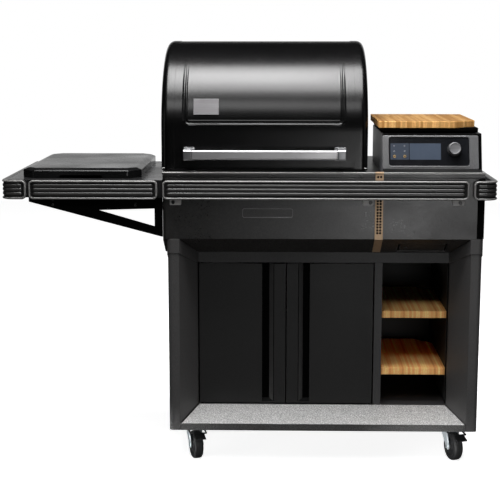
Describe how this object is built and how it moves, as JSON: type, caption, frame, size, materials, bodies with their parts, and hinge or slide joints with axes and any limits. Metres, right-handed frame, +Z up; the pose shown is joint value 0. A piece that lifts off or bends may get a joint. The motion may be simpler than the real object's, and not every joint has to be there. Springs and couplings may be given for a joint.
{
  "type": "pellet smoker grill",
  "caption": "Wood-pellet smoker grill on a caster cabinet cart: barrel lid, pellet hopper with control panel, folded doors, bamboo shelves and a side table with a covered cooktop.",
  "frame": {"origin": "centre of the overall box, on the ground under the wheels", "axes": "+X to the right seen from the front, +Y to the back, +Z up"},
  "size_m": [1.499, 0.635, 1.311],
  "materials": {
    "cart_paint": "satin black powder coat, fine texture",
    "kick_paint": "satin charcoal powder coat",
    "cabinet_paint": "matte black",
    "door_paint": "satin black fine texture",
    "body_paint": "hammertone black, slightly warm",
    "lid_paint": "semi-gloss black enamel",
    "porcelain": "glossy porcelain enamel",
    "cast_pot": "as cast",
    "stainless": "brushed stainless",
    "motor_black": "moulded black",
    "bronze": "satin bronze",
    "rail_alloy": "dark anodised casting, light edges",
    "plate_black": "satin black plate with a bright rim",
    "hopper_paint": "satin black",
    "bezel_black": "satin black moulding",
    "panel_glass": "black glass",
    "dial_black": "satin",
    "dial_alloy": "turned satin aluminium",
    "bamboo": "oiled bamboo strips",
    "table_steel": "satin grey steel",
    "cover_paint": "satin charcoal",
    "gasket_braid": "braided glass fibre",
    "handle_steel": "brushed along its length",
    "post_steel": "satin cast posts",
    "badge_steel": "brushed blank plate",
    "zinc_plate": "bright zinc plate",
    "wheel_rubber": "black tread",
    "brake_black": "moulded black",
    "fastener_steel": "plated"
  },
  "bodies": {
    "cart": {"side_frames": "cart_paint", "leg_collars": "cart_paint", "kick_plate": "kick_paint", "base_pan": "cart_paint", "cart_top_rail": "cart_paint", "cabinet_shell": "cabinet_paint", "divider_panel": "cart_paint", "bamboo_shelves": "bamboo", "caster_plates": "zinc_plate", "body_shell": "body_paint", "deck_frame": "body_paint", "cook_tub": "porcelain", "cooking_grates": "stainless", "fire_pot": "cast_pot", "heat_deflector": "stainless", "drip_tray": "stainless", "auger_tube": "stainless", "auger_motor": "motor_black", "hopper_bin": "stainless", "fan_housing": "stainless", "exhaust_duct": "body_paint", "vent_strip": "bronze", "ribbed_rails": "rail_alloy", "nameplate": "plate_black", "hopper_housing": "hopper_paint", "control_bezel": "bezel_black", "control_glass": "panel_glass", "ash_keg": "stainless", "side_table": "table_steel", "table_brackets": "cart_paint", "induction_hob": "panel_glass", "pins_and_screws": "fastener_steel"},
    "lid": {"lid_shell": "lid_paint", "lid_end_caps": "lid_paint", "lid_liner": "stainless", "lid_gasket": "gasket_braid", "lid_handle_bar": "handle_steel", "lid_handle_posts": "post_steel", "lid_badge": "badge_steel"},
    "door_left": {"door_left": "door_paint"},
    "door_right": {"door_right": "door_paint"},
    "hopper_lid": {"hopper_lid_base": "hopper_paint", "hopper_lid_board": "bamboo"},
    "dial_press": {"dial_ring": "dial_black"},
    "dial": {"dial_cap": "dial_alloy"},
    "cooktop_cover": {"cooktop_cover": "cover_paint"},
    "auger": {"auger_screw": "cast_pot"},
    "fan": {"fan_impeller": "stainless"},
    "rocker": {"power_rocker": "motor_black"},
    "hatch": {"chute_hatch": "body_paint"},
    "caster_fl": {"caster_fork_fl": "zinc_plate"},
    "wheel_fl": {"caster_wheel_fl": "wheel_rubber"},
    "caster_fr": {"caster_fork_fr": "zinc_plate"},
    "wheel_fr": {"caster_wheel_fr": "wheel_rubber"},
    "caster_rl": {"caster_fork_rl": "zinc_plate"},
    "wheel_rl": {"caster_wheel_rl": "wheel_rubber"},
    "caster_rr": {"caster_fork_rr": "zinc_plate"},
    "wheel_rr": {"caster_wheel_rr": "wheel_rubber"},
    "brake_fl": {"caster_brake_fl": "brake_black"},
    "brake_fr": {"caster_brake_fr": "brake_black"}
  },
  "joints": [
    {"name": "lid_hinge", "type": "hinge", "parent": "cart", "child": "lid", "pos_m": [0.0465, 0.2275, 0.96], "axis": [1, 0, 0], "range_deg": [-85, 0]},
    {"name": "door_left_hinge", "type": "hinge", "parent": "cart", "child": "door_left", "pos_m": [-0.15, -0.1985, 0.4], "axis": [0, 0, 1], "range_deg": [-110, 0]},
    {"name": "door_right_hinge", "type": "hinge", "parent": "cart", "child": "door_right", "pos_m": [0.38, -0.1985, 0.4], "axis": [0, 0, 1], "range_deg": [0, 110]},
    {"name": "hopper_lid_hinge", "type": "hinge", "parent": "cart", "child": "hopper_lid", "pos_m": [0.545, 0.1155, 1.046], "axis": [1, 0, 0], "range_deg": [-80, 0]},
    {"name": "dial_push", "type": "slide", "parent": "cart", "child": "dial_press", "axis": [0, 0.954, -0.2998], "range_m": [0, 0.001], "stiffness_N_per_m": 400},
    {"name": "dial_turn", "type": "hinge", "parent": "dial_press", "child": "dial", "pos_m": [0.617, -0.28117, 0.9917], "axis": [0, -0.954, 0.2998], "continuous": true},
    {"name": "cover_lift", "type": "slide", "parent": "cart", "child": "cooktop_cover", "axis": [0, 0, 1], "range_m": [0, 0.12]},
    {"name": "auger_turn", "type": "hinge", "parent": "cart", "child": "auger", "pos_m": [0.38, -0.0175, 0.758], "axis": [1, 0, 0], "continuous": true},
    {"name": "fan_turn", "type": "hinge", "parent": "cart", "child": "fan", "pos_m": [0.61, 0.1505, 0.815], "axis": [0, 1, 0], "continuous": true},
    {"name": "power_switch", "type": "hinge", "parent": "cart", "child": "rocker", "pos_m": [0.64, 0.1095, 0.96], "axis": [1, 0, 0], "range_deg": [-7, 7]},
    {"name": "hatch_hinge", "type": "hinge", "parent": "cart", "child": "hatch", "pos_m": [0.5315, -0.2623, 0.702], "axis": [1, 0, 0], "range_deg": [-60, 0]},
    {"name": "swivel_fl", "type": "hinge", "parent": "cart", "child": "caster_fl", "pos_m": [-0.178, -0.1955, 0.105], "axis": [0, 0, 1], "continuous": true},
    {"name": "roll_fl", "type": "hinge", "parent": "caster_fl", "child": "wheel_fl", "pos_m": [-0.16935, -0.22213, 0.0445], "axis": [0.9511, 0.309, 0], "continuous": true},
    {"name": "brake_fl", "type": "hinge", "parent": "caster_fl", "child": "brake_fl", "pos_m": [-0.16842, -0.22498, 0.0948], "axis": [0.9511, 0.309, 0], "range_deg": [0, 10]},
    {"name": "swivel_fr", "type": "hinge", "parent": "cart", "child": "caster_fr", "pos_m": [0.639, -0.1955, 0.105], "axis": [0, 0, 1], "continuous": true},
    {"name": "roll_fr", "type": "hinge", "parent": "caster_fr", "child": "wheel_fr", "pos_m": [0.64765, -0.22213, 0.0445], "axis": [0.9511, 0.309, 0], "continuous": true},
    {"name": "brake_fr", "type": "hinge", "parent": "caster_fr", "child": "brake_fr", "pos_m": [0.64858, -0.22498, 0.0948], "axis": [0.9511, 0.309, 0], "range_deg": [0, 10]},
    {"name": "swivel_rl", "type": "hinge", "parent": "cart", "child": "caster_rl", "pos_m": [-0.178, 0.1605, 0.105], "axis": [0, 0, 1], "continuous": true},
    {"name": "roll_rl", "type": "hinge", "parent": "caster_rl", "child": "wheel_rl", "pos_m": [-0.16935, 0.13387, 0.0445], "axis": [0.9511, 0.309, 0], "continuous": true},
    {"name": "swivel_rr", "type": "hinge", "parent": "cart", "child": "caster_rr", "pos_m": [0.639, 0.1605, 0.105], "axis": [0, 0, 1], "continuous": true},
    {"name": "roll_rr", "type": "hinge", "parent": "caster_rr", "child": "wheel_rr", "pos_m": [0.64765, 0.13387, 0.0445], "axis": [0.9511, 0.309, 0], "continuous": true}
  ]
}
